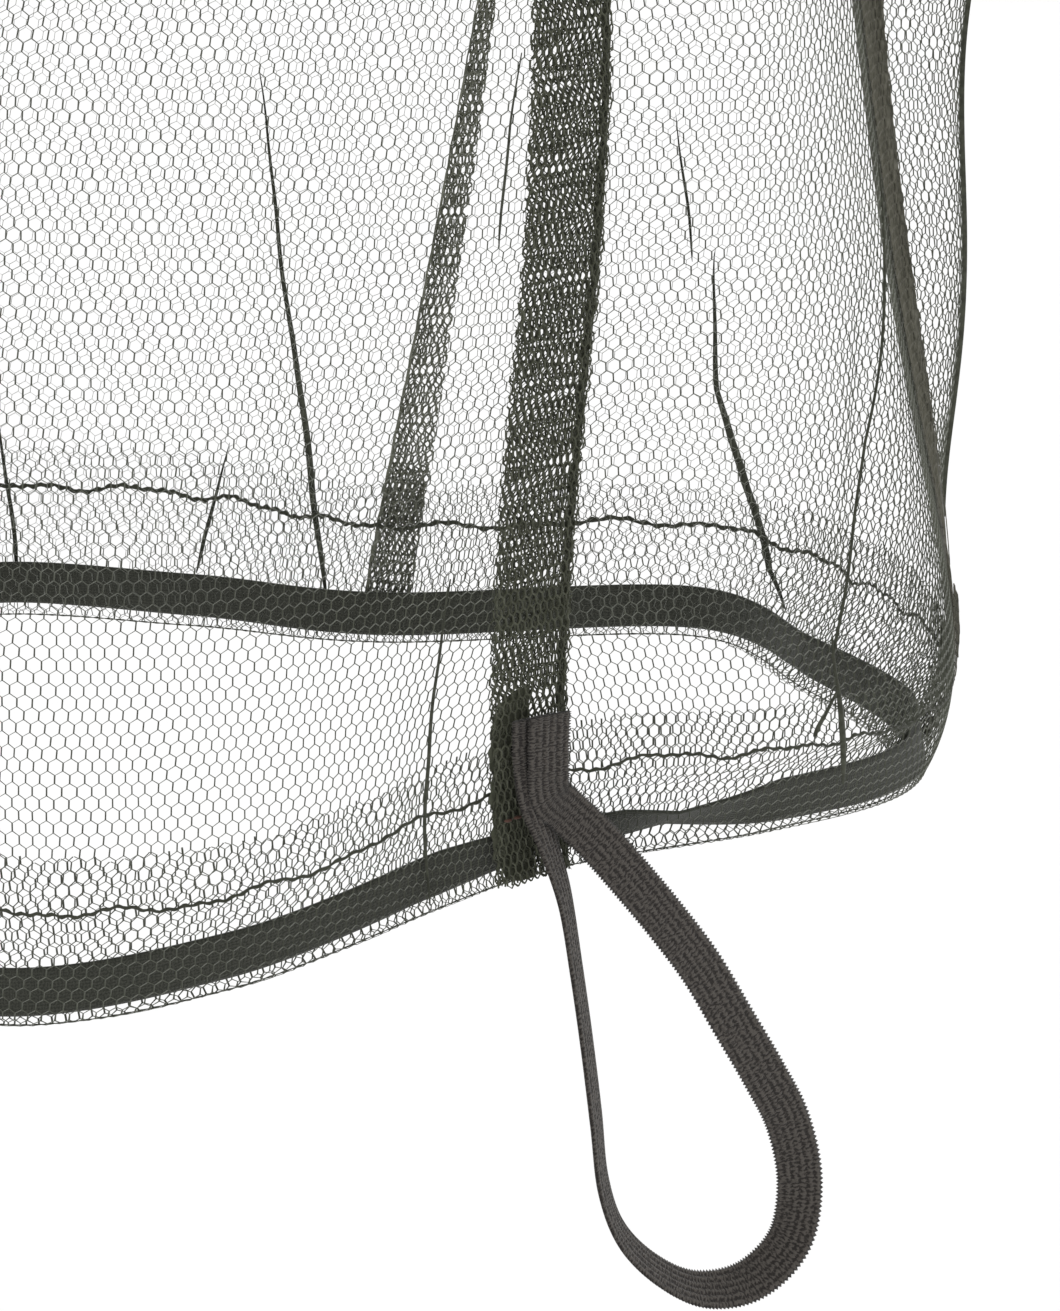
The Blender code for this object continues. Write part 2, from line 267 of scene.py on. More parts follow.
def pocket_width(at, h):
    """The distance between the casing's two layers, which close above the tape."""
    wide = ring_values(at)["pocket"]
    close = np.clip((h - POCKET_CLOSES_H) / POCKET_CLOSING, 0.0, 1.0)
    return wide + (POCKET_TOP - wide) * close**2 * (3.0 - 2.0 * close)


def casing_top(at):
    """The height at which the casing's inner layer is sewn down."""
    places, heights = zip(*CASING_TOP)
    return np.interp(at, places, heights, period=len(GORES))


def look_up(table, row, column):
    """Reads a table between its rows and columns."""
    # Kept just inside the last row and column, so that there is always a next one.
    last = 1.001
    row = np.clip(row, 0.0, table.shape[0] - last)
    column = np.clip(column, 0.0, table.shape[1] - last)
    r, c = row.astype(int), column.astype(int)
    down, right = row - r, column - c
    here = table[r, c] * (1.0 - right) + table[r, c + 1] * right
    there = table[r + 1, c] * (1.0 - right) + table[r + 1, c + 1] * right
    return here * (1.0 - down) + there * down


def net_bolt(bolt_width, wale_pitch, course_pitch, wale_thread, leg_thread):
    """A flat bolt of net: one hexagonal mesh, inset to leave its threads, then set out in rows."""
    mesh = bpy.data.meshes.new("bolt")
    cell = bmesh.new()
    bmesh.ops.create_circle(cell, cap_ends=True, segments=6, radius=1.0)
    # A hexagon of radius 1 that stands on a corner is sqrt(3) wide, and its rows are 1.5 apart.
    fit = (wale_pitch / math.sqrt(3.0), course_pitch / 1.5, 1.0)
    bmesh.ops.scale(cell, verts=cell.verts, vec=fit)
    outline = list(cell.verts)
    bmesh.ops.inset_individual(
        cell, faces=cell.faces, thickness=leg_thread / 2.0, use_even_offset=True
    )
    hole = min(cell.faces, key=lambda face: face.calc_center_median().length)
    narrow = (wale_pitch - wale_thread) / (wale_pitch - leg_thread)
    bmesh.ops.scale(cell, verts=hole.verts, vec=(narrow, 1.0, 1.0))
    # The legs that fall to the right are a little thicker than the others.
    leg_way = Vector((0.5, math.sqrt(0.75), 0.0))
    for corner in hole.verts:
        corner.co -= leg_way * corner.co.dot(leg_way) * LEG_SKEW
    bmesh.ops.delete(cell, geom=[hole], context="FACES_ONLY")
    # The legs are painted paler, as painted light shining through them, most of all those that fall to the
    # left.
    painted_backlight = cell.faces.layers.float.new("painted_backlight")
    for side in cell.faces:
        middle = side.calc_center_median()
        if abs(middle.y) > LEG_SLOPE * abs(middle.x):
            side[painted_backlight] = RIGHT_LEG_BACKLIGHT if middle.x * middle.y > 0.0 else LEFT_LEG_BACKLIGHT
    bmesh.ops.translate(cell, verts=outline, vec=(0.0, 0.0, THREAD_RISE))
    cell.to_mesh(mesh)
    cell.free()
    bolt = bpy.data.objects.new("bolt", mesh)
    bpy.context.collection.objects.link(bolt)
    wales = math.ceil(bolt_width / wale_pitch)
    courses = math.ceil(BOLT_LENGTH / course_pitch / 2.0)
    for name, step, count in (
        ("next_course", (wale_pitch / 2.0, course_pitch, 0.0), 2),
        ("wales", (wale_pitch, 0.0, 0.0), wales),
        ("courses", (0.0, course_pitch * 2.0, 0.0), courses),
    ):
        rows = bolt.modifiers.new(name, "ARRAY")
        rows.use_relative_offset = False
        rows.use_constant_offset = True
        rows.constant_offset_displace = step
        rows.count = count
    made = bpy.data.meshes.new_from_object(bolt.evaluated_get(bpy.context.evaluated_depsgraph_get()))
    bpy.data.objects.remove(bolt)
    return made


def flat_corners(mesh):
    """A mesh's corners as rows of x, y and z."""
    corners = np.empty(len(mesh.vertices) * 3)
    mesh.vertices.foreach_get("co", corners)
    return corners.reshape(-1, 3)


def cut_net(bolt, keep, points, wear_and_light_share=None):
    """A piece cut from the bolt: what lies outside it is cut off, and what is left is hung."""
    net = bmesh.new()
    net.from_mesh(bolt)
    for corner, point in zip(net.verts, points):
        corner.co = point
    if wear_and_light_share is not None:
        wear_and_light_layer = net.verts.layers.float.new("far_side_wear_and_light")
        for corner, value in zip(net.verts, wear_and_light_share):
            corner[wear_and_light_layer] = value
    off = [corner for corner, kept in zip(net.verts, keep) if not kept]
    bmesh.ops.delete(net, geom=off, context="VERTS")
    return net


def finished(name, work, material, node=None):
    """Makes an object of the finished work, which rides on the canopy and stands for its solid."""
    mesh = bpy.data.meshes.new(name)
    work.to_mesh(mesh)
    work.free()
    mesh.materials.append(material)
    mesh.shade_smooth()
    piece = bpy.data.objects.new(name, mesh)
    bpy.context.collection.objects.link(piece)
    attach(piece, "root")
    if node:
        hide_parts(node)
    return piece


def wandered(s, t):
    """The threads' places across the cloth, which wander a little as they run up it."""
    fine = np.sin(FINE_WANDER_PACE * t + FINE_WANDER_BEND * np.sin(FINE_WANDER_BEND_PACE * s))
    broad = np.sin(BROAD_WANDER_PACE * t + BROAD_WANDER_PACE_ACROSS * s)
    return s + WANDER * fine + WANDER * broad


YARN_SHINE = 0.2
YARN_SHEEN = 0.15
YARN_SHEEN_ROUGHNESS = 0.5
PATCH_DETAIL = 3.0
SHADE_STOPS = (0.35, 0.65)


def yarn_material(name, dark, light, roughness, patch):
    """Dyed yarn: two shades in soft patches of this size in metres, with a faint fibre sheen."""
    material = bpy.data.materials.new(name)
    material.use_nodes = True
    nodes, links = material.node_tree.nodes, material.node_tree.links
    shader = nodes["Principled BSDF"]
    shader.inputs["Roughness"].default_value = roughness
    shader.inputs["Specular IOR Level"].default_value = YARN_SHINE
    shader.inputs["Sheen Weight"].default_value = YARN_SHEEN
    shader.inputs["Sheen Roughness"].default_value = YARN_SHEEN_ROUGHNESS
    place = nodes.new("ShaderNodeTexCoord")
    clouds = nodes.new("ShaderNodeTexNoise")
    clouds.inputs["Scale"].default_value = 1.0 / patch
    clouds.inputs["Detail"].default_value = PATCH_DETAIL
    shades = nodes.new("ShaderNodeValToRGB")
    for stop, position, colour in zip(shades.color_ramp.elements, SHADE_STOPS, (dark, light)):
        stop.position = position
        stop.color = (*colour, 1.0)
    links.new(place.outputs["Object"], clouds.inputs["Vector"])
    links.new(clouds.outputs["Fac"], shades.inputs["Fac"])
    links.new(shades.outputs["Color"], shader.inputs["Base Color"])
    return material


net_yarn = yarn_material(
    "net_yarn", dark=(0.050, 0.053, 0.039), light=(0.080, 0.085, 0.064), roughness=0.7, patch=0.012
)
# Where the net is worn on the far side and where light shines through its legs, it is painted paler, as
# painted light.
dye = net_yarn.node_tree
far_side_wear_and_light = dye.nodes.new("ShaderNodeAttribute")
far_side_wear_and_light.attribute_name = "far_side_wear_and_light"
painted_backlight_fac = dye.nodes.new("ShaderNodeAttribute")
painted_backlight_fac.attribute_name = "painted_backlight"
either = dye.nodes.new("ShaderNodeMath")
either.operation = "MAXIMUM"
dye.links.new(far_side_wear_and_light.outputs["Fac"], either.inputs[0])
dye.links.new(painted_backlight_fac.outputs["Fac"], either.inputs[1])
paler = dye.nodes.new("ShaderNodeMix")
paler.data_type = "RGBA"
mixed = {socket.identifier: socket for socket in (*paler.inputs, *paler.outputs)}
mixed["B_Color"].default_value = (*PAINTED_LIGHT_DYE, 1.0)
dye.links.new(either.outputs["Value"], mixed["Factor_Float"])
dye.links.new(dye.nodes["Color Ramp"].outputs["Color"], mixed["A_Color"])
dye.links.new(mixed["Result_Color"], dye.nodes["Principled BSDF"].inputs["Base Color"])

COLUMNS = 40
ROWS = 120
HEIGHTS = np.linspace(0.0, TOP_EDGE_H, ROWS)
bolt = net_bolt(BOLT_WIDTH, WALE_PITCH, COURSE_PITCH, WALE_THREAD, LEG_THREAD)
new_corners = flat_corners(bolt)
worn_corners = flat_corners(
    net_bolt(BOLT_WIDTH, WALE_PITCH, COURSE_PITCH, WORN_WALE_THREAD, WORN_LEG_THREAD)
)
for number, gore in enumerate(named_rows(GORE_FIELDS, GORES)):
    # How the gore's cloth lies: at each height its width, and its places at even steps across it.
    places = number + np.linspace(0.0, 1.0, COLUMNS + 1)
    grid_at, grid_h = np.meshgrid(places, HEIGHTS)
    surface = hung(grid_at.ravel(), grid_h.ravel()).reshape(ROWS, COLUMNS + 1, 3)
    across = np.cumsum(np.linalg.norm(np.diff(surface, axis=1), axis=2), axis=1)
    across = np.column_stack((np.zeros(ROWS), across))
    even = np.array([np.interp(np.linspace(0.0, 1.0, COLUMNS + 1), r / r[-1], places) for r in across])
    middle_line = surface[:, COLUMNS // 2]
    climb = np.append(0.0, np.cumsum(np.linalg.norm(np.diff(middle_line, axis=0), axis=1)))

    # The bolt is turned to the gore's lean and its corners carried to their places on the canopy, first
    # roughly, to tell how thick the threads are there, and then with those threads.
    lean = math.radians(gore["lean"])
    bolt_corners = new_corners
    for roughly in (True, False):
        x = bolt_corners[:, 0] - BOLT_WIDTH / 2.0
        y = bolt_corners[:, 1] - BOLT_LENGTH / 2.0
        s = x * math.cos(lean) + y * math.sin(lean)
        t = y * math.cos(lean) - x * math.sin(lean) + BOLT_LENGTH / 2.0 - CUT_START
        s = wandered(s, t)
        turned = np.maximum(-t - FOLD_LENGTH, 0.0)
        h = np.where(t > 0.0, np.interp(t + FOLD_H, climb, HEIGHTS), FOLD_H + turned)
        width = np.interp(h, HEIGHTS, across[:, -1])
        gather = GATHER * np.exp(-((h / GATHER_H) ** 2))
        share = 0.5 + s / (width * (1.0 + gather))
        closeness = gather * (1.0 + np.cos(2.0 * math.pi * share))
        share -= gather * np.sin(2.0 * math.pi * share) / (2.0 * math.pi)
        if roughly:
            # How far the threads are worn finer, which on the far side also paints them paler as painted
            # light; gathers and the casing thicken them instead.
            wear_and_light_share = np.interp(number + np.clip(share, 0.0, 1.0), WEAR_AND_LIGHT_PLACES, WEAR_AND_LIGHT)
            wear_and_light_share -= GATHER_THREAD * closeness + np.where(t < 0.0, CASING_THREAD, 0.0)
            bolt_corners = new_corners + (worn_corners - new_corners) * wear_and_light_share[:, None]
    keep = (np.abs(share - 0.5) < 0.5) & (h < TOP_EDGE_H - TOP_TRIM)
    keep &= (t > 0.0) | (h < casing_top(number + share) + ALLOWANCE)
    kept = np.flatnonzero(keep)
    at = look_up(even, h[kept] / TOP_EDGE_H * (ROWS - 1), share[kept] * COLUMNS)
    fold = np.clip(-t[kept] / FOLD_LENGTH, 0.0, 1.0) * math.pi
    points = hung(at, h[kept]) + outward(at, h[kept]) * bolt_corners[kept, 2, None]
    inward = pocket_width(at, h[kept]) * (0.5 - 0.5 * np.cos(fold))
    points -= level_out(at, h[kept]) * inward[:, None]
    points[:, 2] -= FOLD_DROP * np.sin(fold)
    hung_points = np.zeros_like(bolt_corners)
    hung_points[kept] = placed(points)

    net = cut_net(bolt, keep, hung_points, wear_and_light_share)
    piece = finished(gore["node"] + "_net", net, net_yarn, gore["node"])

# ----------------------------------------------------------------------------------------------------
# The seam bands: the net edges of two gores and a strip of the same net, folded together flat and sewn
# down over each join. Up to four gathered layers make them nearly solid, with a darker fold down one
# side, and a band may stray a little aside from its join low down.

# Each band's widths, its number of open layers, and how far it strays aside and below which height.
BAND_TOP_H = 307.0
BAND_FIELDS = ("node", "hem_width", "waist_width", "neck_width", "layers", "aside", "aside_to_h")
BANDS = (
    ("band_front_left", 9.0, 9.0, 4.6, 3, 0.0, WAIST_H),
    ("band_front", 12.6, 12.9, 4.6, 4, 1.7, 100.0),
    ("band_right", 9.0, 9.6, 4.6, 1, 0.0, WAIST_H),
    ("band_back", 8.4, 2.6, 3.0, 2, 1.7, 130.0),
    ("band_back_left", 9.0, 9.0, 4.6, 3, 0.0, WAIST_H),
)
# Where a band's cloth is doubled once more, between two heights.
DOUBLED_FIELDS = ("band", "bottom", "top", "layer")
DOUBLED = (
    ("band_back", 17.0, 29.0, 4),
    ("band_back", 18.0, 28.0, 5),
    ("band_back", 60.0, BAND_TOP_H, 4),
    ("band_back", 86.0, BAND_TOP_H, 5),
)
# Besides its open layers a band has folds so tight that no light comes through: each lies between two
# shares of the band's width and two heights, and its two edges stand so far out from the net. The
# right band's is tilted, with one edge inside the net.
CORE_FIELDS = ("band", "low", "high", "bottom", "top", "low_stand", "high_stand")
CORES = (
    ("band_front_left", 0.36, 0.5, 0.8, BAND_TOP_H, 0.45, 0.45),
    ("band_front_left", -0.5, -0.1, 0.8, 29.0, 1.2, 1.2),
    ("band_front", 0.39, 0.5, 0.8, BAND_TOP_H, 0.45, 0.45),
    ("band_front", -0.5, 0.0, 0.8, 33.0, 1.15, 1.15),
    ("band_right", -0.5, 0.5, 9.0, BAND_TOP_H, -0.7, 0.8),
    ("band_back", 0.42, 0.5, 0.8, BAND_TOP_H, 0.45, 0.45),
    ("band_back", -0.5, 0.42, 112.0, BAND_TOP_H, 0.8, 0.8),
    ("band_back_left", 0.36, 0.5, 0.8, BAND_TOP_H, 0.45, 0.45),
    ("band_back_left", -0.5, -0.1, 0.8, 23.0, 1.2, 1.2),
)
# How far the first layer stands out and each further one beyond it, and how each leans, in degrees.
BAND_STAND = 0.6
LAYER_STEP = 0.35
LAYER_LEANS = (2.0, -5.0, 7.0, -9.0, 12.0, -3.0)
# The fold down one side, the end turned up over the band, and how the gathered net is cut to it.
FOLD_WIDTH = 1.2
BAND_END_H = 26.0
BAND_END_SHARE = 0.3
BAND_CUT_START = 20.0
BAND_HEM_TRIM = 0.5
NECK_WIDTH_EARLY = 1.1
SIDE_STEP = 0.02

# The tight folds' edges waver and tremble, their ends are pinched, and their faces ripple.
CORE_COLUMNS = 240
CORE_ROWS = 8
CORE_WAVER = 0.02
CORE_WAVER_PACE = 0.9
CORE_WAVER_SHIFT = 7.0
CORE_TREMBLE = 0.012
CORE_TREMBLE_PACE = 2.3
CORE_PINCH = 2.2
CORE_PINCHED = 0.6
CORE_RIPPLE = 0.12
CORE_RIPPLES = 3.0
CORE_RIPPLE_PACE = 0.21

# The gathered net: its meshes are pushed together, so its threads cover nearly half of it.
GATHERED_WIDTH = 120.0
GATHERED_WALE_PITCH = 1.1
GATHERED_COURSE_PITCH = 1.7
GATHERED_WALE_THREAD = 0.3
GATHERED_LEG_THREAD = 0.2


def band_width(band, h):
    """The band's width at these heights."""
    rise = np.clip((h - WAIST_H) / (NECK_H - WAIST_H) * NECK_WIDTH_EARLY, 0.0, 1.0)
    narrow = rise**2 * (3.0 - 2.0 * rise)
    below = band["hem_width"] + (band["waist_width"] - band["hem_width"]) * np.clip(h / WAIST_H, 0.0, 1.0)
    return below + (band["neck_width"] - band["waist_width"]) * narrow


def band_place(band, share, h):
    """The place of a share of the band's width, which strays a little aside from the join low down."""
    aside = band["aside"] * np.sin(math.pi * np.clip(h / band["aside_to_h"], 0.0, 1.0))
    return band["at"] + (share * band_width(band, h) - aside) / np.interp(h, HEIGHTS, band["gore_widths"])


def band_layer(band, low, high, bottom, top, layer):
    """One layer of gathered net between two shares of the band's width and two heights."""
    turn = math.radians(LAYER_LEANS[layer])
    x = gathered_corners[:, 0] - GATHERED_WIDTH / 2.0
    y = gathered_corners[:, 1] - BOLT_LENGTH / 2.0
    s = x * math.cos(turn) + y * math.sin(turn)
    t = y * math.cos(turn) - x * math.sin(turn) + BOLT_LENGTH / 2.0 - BAND_CUT_START
    h = np.interp(t, band["climb"], HEIGHTS)
    share = s / band_width(band, h) + (low + high) / 2.0
    keep = (t > BAND_HEM_TRIM) & (share > low) & (share < high) & (h > bottom) & (h < top)
    kept = np.flatnonzero(keep)
    at = band_place(band, share[kept], h[kept])
    stand = BAND_STAND + LAYER_STEP * layer + gathered_corners[kept, 2]
    points = np.zeros_like(gathered_corners)
    points[kept] = placed(hung(at, h[kept]) + outward(at, h[kept]) * stand[:, None])
    return cut_net(gathered, keep, points)


WELD = 0.001


def strip(columns, rows, lie, closed=False):
    """A flat strip of cloth, divided evenly, each corner moved to where lie(along, across) says."""
    work = bmesh.new()
    work.loops.layers.uv.new("cloth")
    bmesh.ops.create_grid(work, x_segments=columns, y_segments=rows, size=0.5, calc_uvs=True)
    flat = np.array([corner.co for corner in work.verts]) + 0.5
    for corner, point in zip(work.verts, placed(lie(flat[:, 0], flat[:, 1]))):
        corner.co = point
    if closed:
        bmesh.ops.remove_doubles(work, verts=work.verts, dist=WELD * MM)
    bmesh.ops.recalc_face_normals(work, faces=work.faces)
    return work


def band_core(band, core):
    """A tight fold of a band, with slightly wavering edges and pinched ends."""
    low, high, bottom, top = (core[name] for name in ("low", "high", "bottom", "top"))

    def core_lies(along, across):
        h = bottom + (top - bottom) * along
        waver = CORE_WAVER * np.sin(CORE_WAVER_PACE * h + CORE_WAVER_SHIFT * low)
        waver += CORE_TREMBLE * np.sin(CORE_TREMBLE_PACE * h)
        pinched = CORE_PINCHED * (np.exp((bottom - h) / CORE_PINCH) + np.exp((h - top) / CORE_PINCH))
        share = high - (high - low) * (1.0 - across) * (1.0 - pinched) + waver * (1.0 - 0.5 * across)
        at = band_place(band, share, h)
        stand = core["low_stand"] + (core["high_stand"] - core["low_stand"]) * across
        ripple = np.sin(math.pi * CORE_RIPPLES * across) * np.sin(CORE_RIPPLE_PACE * h)
        fold = stand + CORE_RIPPLE * ripple
        return hung(at, h) + outward(at, h) * fold[:, None]

    return strip(CORE_COLUMNS, CORE_ROWS, core_lies)


def joined(parts):
    """Several pieces of work as one."""
    whole = bmesh.new()
    for part in parts:
        mesh = bpy.data.meshes.new("part")
        part.to_mesh(mesh)
        part.free()
        whole.from_mesh(mesh)
        bpy.data.meshes.remove(mesh)
    return whole


BAND_ROUGHNESS = 0.75
band_yarn = yarn_material(
    "band_yarn", (0.042, 0.045, 0.028), (0.076, 0.080, 0.055), BAND_ROUGHNESS, patch=0.0014
)
# The right band is painted lighter and a little warmer, as painted light from the front, and the back one
# paler still, as painted light, though it faces away from the light.
front_lit_band_yarn = yarn_material(
    "front_lit_band_yarn", (0.060, 0.058, 0.041), (0.112, 0.108, 0.083), BAND_ROUGHNESS, patch=0.0012
)
painted_light_back_band_yarn = yarn_material(
    "painted_light_back_band_yarn", (0.105, 0.110, 0.080), (0.190, 0.195, 0.155), BAND_ROUGHNESS, patch=0.0016
)
painted_light_band_yarns = {"band_right": front_lit_band_yarn, "band_back": painted_light_back_band_yarn}
gathered = net_bolt(
    GATHERED_WIDTH, GATHERED_WALE_PITCH, GATHERED_COURSE_PITCH, GATHERED_WALE_THREAD, GATHERED_LEG_THREAD
)
gathered_corners = flat_corners(gathered)
for number, band in enumerate(named_rows(BAND_FIELDS, BANDS)):
    # The join that it covers: its place, how its cloth climbs it, and how wide a gore is at each height.
    join = np.full(ROWS, float(number))
    climbing = np.linalg.norm(np.diff(hung(join, HEIGHTS), axis=0), axis=1)
    beside = hung(join + SIDE_STEP, HEIGHTS) - hung(join - SIDE_STEP, HEIGHTS)
    band["at"] = number
    band["climb"] = np.append(0.0, np.cumsum(climbing))
    band["gore_widths"] = np.linalg.norm(beside, axis=1) / (2.0 * SIDE_STEP)
    layers = []
    for layer in range(band["layers"]):
        layers.append(band_layer(band, -0.5, 0.5, 0.0, BAND_TOP_H, layer))
    # The fold down its right side, its lower end turned up over itself, where it is doubled, and its
    # tight folds.
    fold = 0.5 - FOLD_WIDTH / band["waist_width"]
    layers.append(band_layer(band, fold, 0.5, 0.0, BAND_TOP_H, band["layers"]))
    layers.append(band_layer(band, -0.5, BAND_END_SHARE, 0.0, BAND_END_H, band["layers"] + 1))
    for doubled in named_rows(DOUBLED_FIELDS, DOUBLED):
        if doubled["band"] == band["node"]:
            bottom, top = doubled["bottom"], doubled["top"]
            layers.append(band_layer(band, -0.5, 0.5, bottom, top, doubled["layer"]))
    cores = [core for core in named_rows(CORE_FIELDS, CORES) if core["band"] == band["node"]]
    layers.extend(band_core(band, core) for core in cores)
    yarn = painted_light_band_yarns.get(band["node"], band_yarn)
    piece = finished(band["node"] + "_net", joined(layers), yarn, band["node"])

# ----------------------------------------------------------------------------------------------------
# The tucks: where a gore is creased, a little of its net is pinched into a narrow fold that follows the
# crease, and along the hem its lowest meshes are pressed into one line; both are painted darker than the
# net, as painted shade in the folds. They are part of the gores' cloth, drawn up by the hem and the bands.

# Each tuck's width, how far it stands out, and the places and heights that it runs up through.
TUCK_FIELDS = ("width", "stand", "path")
TUCKS = (
    (0.55, 0.35, ((0.882, 2.0), (0.878, 20.0), (0.884, 36.0), (0.895, 54.0))),
    (0.38, 0.30, ((0.929, 104.0), (0.931, 114.0), (0.934, 122.0), (0.940, 132.0))),
    (0.65, 0.40, ((1.455, 7.5), (1.434, 30.0), (1.555, 62.0), (1.760, 100.0))),
    (1.40, 0.40, ((1.455, 7.0), (1.449, 14.0), (1.442, 22.0), (1.432, 33.0))),
    (1.30, 0.40, ((1.395, 16.8), (1.404, 18.5), (1.418, 20.5), (1.440, 24.0))),
    (0.90, 0.80, ((2.120, 34.0), (2.235, 52.0), (2.280, 86.0), (2.305, 128.0))),
    (1.75, 0.35, ((2.510, 7.0), (2.562, 12.0), (2.621, 24.7), (2.646, 31.8), (2.666, 40.0), (2.683, 63.5))),
    (0.45, 0.30, ((2.710, 61.3), (2.724, 70.8), (2.735, 78.2), (2.747, 86.0))),
    (1.45, 0.35, ((3.085, 5.0), (3.135, 27.0), (3.200, 52.0), (3.290, 92.0))),
    (0.80, 0.35, ((3.330, 8.0), (3.322, 14.0), (3.304, 22.0), (3.290, 30.0))),
    (0.80, 0.35, ((3.590, 3.0), (3.600, 12.0), (3.615, 24.0), (3.640, 42.0))),
    (1.00, 0.35, ((3.740, 14.0), (3.713, 50.0), (3.686, 85.0), (3.660, 120.0))),
    (1.00, 0.35, ((4.300, 10.0), (4.347, 43.0), (4.394, 77.0), (4.440, 110.0))),
    (0.90, 0.35, ((4.700, 4.0), (4.660, 29.0), (4.620, 54.0), (4.580, 80.0))),
)
TUCK_COLUMNS = 160
TUCK_ROWS = 6
TUCK_LOW_WIDTH = 1.2
TUCK_TAPER = 0.7
TUCK_BOW = 0.22
TUCK_BOW_PACE = 0.1
TUCK_BOW_SHIFT = 20.0
TUCK_WAVER = 0.1
TUCK_WAVER_PACE = 0.34

HEM_FOLD_R = 0.12
HEM_FOLD_BEADS = 290
HEM_FOLD_BEAD = 0.4
HEM_FOLD_COLUMNS = 900
HEM_FOLD_SIDES = 4

tuck_parts = []
for tuck in named_rows(TUCK_FIELDS, TUCKS):

    def tuck_lies(along, across):
        """A narrow fold, widest low down, that wavers a little beside its crease."""
        places, heights = zip(*tuck["path"])
        stops = np.linspace(0.0, 1.0, len(places))
        middle = np.interp(along, stops, places)
        h = np.interp(along, stops, heights)
        wide = tuck["width"] * np.sin(math.pi * np.clip(along, 0.0, 1.0)) ** 0.5
        wide *= TUCK_LOW_WIDTH - TUCK_TAPER * along
        waver = TUCK_BOW * np.sin(TUCK_BOW_PACE * h + middle * TUCK_BOW_SHIFT)
        waver += TUCK_WAVER * np.sin(TUCK_WAVER_PACE * h)
        at = middle + ((across - 0.5) * wide + waver) / GORE_WIDTH
        ridge = tuck["stand"] * np.sin(math.pi * across)
        return hung(at, h) + outward(at, h) * ridge[:, None]

    tuck_parts.append(strip(TUCK_COLUMNS, TUCK_ROWS, tuck_lies))


def hem_fold_lies(along, across):
    """The hem's own fold, where the net's lowest meshes lie pressed into one beaded line."""
    at = along * len(GORES)
    low = np.full(len(at), FOLD_H)
    out = level_out(at, low)
    middle = hung(at, low) - out * (pocket_width(at, low) / 2.0)[:, None]
    angle = across * 2.0 * math.pi
    radius = HEM_FOLD_R * (1.0 + HEM_FOLD_BEAD * np.sin(2.0 * math.pi * HEM_FOLD_BEADS * along))
    up = np.column_stack((np.zeros(len(at)), np.zeros(len(at)), radius * np.sin(angle) - FOLD_DROP))
    return middle + out * (radius * np.cos(angle))[:, None] + up


tuck_parts.append(strip(HEM_FOLD_COLUMNS, HEM_FOLD_SIDES, hem_fold_lies, closed=True))
# A darker copy of the net's yarn: painted shade in the folds.
tuck_shade_yarn = yarn_material(
    "tuck_shade_yarn", dark=(0.032, 0.034, 0.024), light=(0.062, 0.066, 0.048), roughness=0.8, patch=0.0012
)
tucks = finished("crease_tucks", joined(tuck_parts), tuck_shade_yarn)

# ----------------------------------------------------------------------------------------------------
# The hem tape: a flat woven polyester tape, closed to a ring, that stiffens the hem. It lies loose on
# edge in the casing and twists where the casing is wide.

TAPE_WIDTH = 7.2
TAPE = 0.4
TAPE_MIDDLE_H = 5.1
TAPE_COLUMNS = 900
TAPE_ROWS = 8
TAPE_STITCHES = 1100.0
TAPE_RIBS = 14.0
TAPE_BUMP = 0.0001

# The weave's height: flecks, and one wave to each rib and to each stitch, the ribs the stronger. The height
# also sets the colour, so the grooves are painted darker, as painted shade.
FLECK_SCALE = 1.8
FLECK_DETAIL = 2.0
FLECK_GAIN = 2.2
FLECK_BASE = -0.85
WEAVE_WAVES = (("Y", 0.28, 0.0), ("X", 0.22, 2.0))
ONE_WAVE = math.pi / 10.0
WOVEN_ROUGHNESS = 0.8
WOVEN_PATCH = 0.006

# How it lies: ring places, its turn about its own length in degrees, and how far it is raised.
TAPE_TURNS = (
    (0.0, 0.0, 0.0),
    (0.35, -4.0, 0.0),
    (0.62, 4.0, 0.6),
    (0.90, 8.0, 0.4),
    (1.02, 34.0, 0.0),
    (1.12, 38.0, 0.2),
    (1.19, 58.0, 0.0),
    (1.27, 38.0, 0.0),
    (1.36, 12.0, 0.2),
    (1.55, 4.0, 0.0),
    (1.85, -10.0, 0.4),
    (2.05, 14.0, -0.2),
    (2.4, -6.0, -0.7),
    (3.0, 4.0, -0.4),
    (3.6, -4.0, 0.2),
    (4.3, 5.0, 0.0),
)


def tape_lies(along, across):
    """The tape in the middle of the casing, turned about its own length."""
    at = along * len(GORES)
    places, turns, rises = zip(*TAPE_TURNS)
    turn = np.radians(np.interp(at, places, turns, period=len(GORES)))
    middle_h = TAPE_MIDDLE_H + np.interp(at, places, rises, period=len(GORES))
    out = level_out(at, middle_h)
    middle = hung(at, middle_h) - out * (pocket_width(at, 0.0) / 2.0)[:, None]
    off = ((across - 0.5) * TAPE_WIDTH)[:, None]
    up = np.array((0.0, 0.0, 1.0))
    return middle + off * (up * np.cos(turn)[:, None] + out * np.sin(turn)[:, None])


